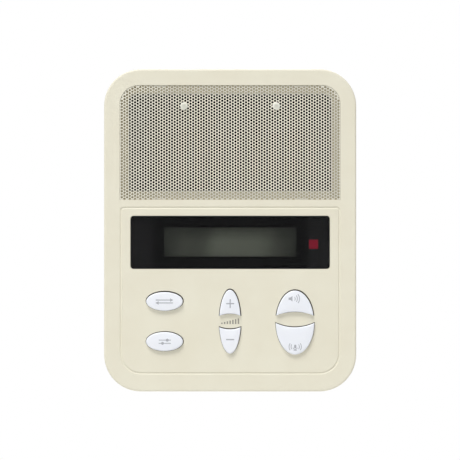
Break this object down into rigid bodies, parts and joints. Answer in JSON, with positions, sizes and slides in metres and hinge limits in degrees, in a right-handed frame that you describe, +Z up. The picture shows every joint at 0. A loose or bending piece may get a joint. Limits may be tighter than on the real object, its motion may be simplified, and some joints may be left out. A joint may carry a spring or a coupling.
{
  "type": "room intercom station",
  "caption": "Flush wall intercom station: rounded ivory panel with a perforated speaker grille, dark display window and oval push keys, with loudspeaker and board behind.",
  "frame": {"origin": "centre of the front panel on the wall plane, the plane of the panel rim's back face", "axes": "+Z up, +X to the right seen from the front, the front faces -Y and +Y goes into the wall"},
  "size_m": [0.165, 0.0354, 0.211],
  "materials": {
    "panel_ivory": "satin moulded",
    "grille_ivory": "satin paint",
    "cloth_black": "woven",
    "screw_ivory": "painted head",
    "window_clear": "polished acrylic",
    "mask_black": "printed",
    "foam_black": "closed cell foam",
    "bezel_black": "black plated",
    "lcd_glass": "polariser",
    "strip_pink": "elastomer",
    "backlight_white": "diffuser",
    "board_green": "solder mask",
    "screw_steel": "zinc plated",
    "ribbon_grey": "ribbon",
    "pipe_red": "clear red",
    "led_white": "moulded",
    "key_white": "satin moulded",
    "mat_grey": "silicone",
    "pill_black": "carbon",
    "chip_black": "moulded",
    "can_blue": "sleeved",
    "terminal_green": "moulded",
    "header_white": "moulded",
    "frame_steel": "zinc plated",
    "surround_black": "matte",
    "cone_paper": "pressed paper",
    "coil_copper": "wound wire",
    "spider_cloth": "resin cloth",
    "ferrite_grey": "sintered",
    "tag_brown": "phenolic",
    "tag_brass": "tinned",
    "lead_red": "insulated wire",
    "lead_black": "insulated wire"
  },
  "bodies": {
    "station": {"front_panel": "panel_ivory", "speaker_grille": "grille_ivory", "grille_cloth": "cloth_black", "mounting_screws": "screw_ivory", "display_lens": "window_clear", "window_mask": "mask_black", "display_gasket": "foam_black", "lcd_bezel": "bezel_black", "lcd_glass": "lcd_glass", "contact_strips": "strip_pink", "lcd_backlight": "backlight_white", "lcd_board": "board_green", "lcd_screws": "screw_steel", "display_ribbon": "ribbon_grey", "indicator_pipe": "pipe_red", "indicator_led": "led_white", "keypad_mat": "mat_grey", "main_board": "board_green", "board_screws": "screw_steel", "controller_chip": "chip_black", "amplifier_chip": "chip_black", "capacitors": "can_blue", "terminal_block": "terminal_green", "terminal_screws": "screw_steel", "speaker_header": "header_white", "ribbon_header": "header_white", "speaker_gasket": "foam_black", "speaker_frame": "frame_steel", "speaker_surround": "surround_black", "spider": "spider_cloth", "top_plate": "frame_steel", "magnet": "ferrite_grey", "yoke": "frame_steel", "tag_board": "tag_brown", "solder_tags": "tag_brass", "speaker_screws": "screw_steel", "red_lead": "lead_red", "black_lead": "lead_black"},
    "source_key": {"source_button": "key_white", "source_pill": "pill_black"},
    "set_key": {"set_button": "key_white", "set_pill": "pill_black"},
    "volume_up_key": {"volume_up_button": "key_white", "volume_up_pill": "pill_black"},
    "volume_down_key": {"volume_down_button": "key_white", "volume_down_pill": "pill_black"},
    "listen_key": {"listen_button": "key_white", "listen_pill": "pill_black"},
    "talk_key": {"talk_button": "key_white", "talk_pill": "pill_black"},
    "cone_assembly": {"speaker_cone": "cone_paper", "dust_cap": "cone_paper", "voice_coil": "coil_copper"}
  },
  "joints": [
    {"name": "source_press", "type": "slide", "parent": "station", "child": "source_key", "axis": [0, 1, 0], "range_m": [0, 0.0012], "stiffness_N_per_m": 600, "deforming": ["keypad_mat"]},
    {"name": "set_press", "type": "slide", "parent": "station", "child": "set_key", "axis": [0, 1, 0], "range_m": [0, 0.0012], "stiffness_N_per_m": 600, "deforming": ["keypad_mat"]},
    {"name": "volume_up_press", "type": "slide", "parent": "station", "child": "volume_up_key", "axis": [0, 1, 0], "range_m": [0, 0.0012], "stiffness_N_per_m": 600, "deforming": ["keypad_mat"]},
    {"name": "volume_down_press", "type": "slide", "parent": "station", "child": "volume_down_key", "axis": [0, 1, 0], "range_m": [0, 0.0012], "stiffness_N_per_m": 600, "deforming": ["keypad_mat"]},
    {"name": "listen_press", "type": "slide", "parent": "station", "child": "listen_key", "axis": [0, 1, 0], "range_m": [0, 0.0012], "stiffness_N_per_m": 600, "deforming": ["keypad_mat"]},
    {"name": "talk_press", "type": "slide", "parent": "station", "child": "talk_key", "axis": [0, 1, 0], "range_m": [0, 0.0012], "stiffness_N_per_m": 600, "deforming": ["keypad_mat"]},
    {"name": "cone_travel", "type": "slide", "parent": "station", "child": "cone_assembly", "axis": [0, 1, 0], "range_m": [-0.0008, 0.0008], "stiffness_N_per_m": 500, "deforming": ["speaker_surround", "spider"]}
  ]
}
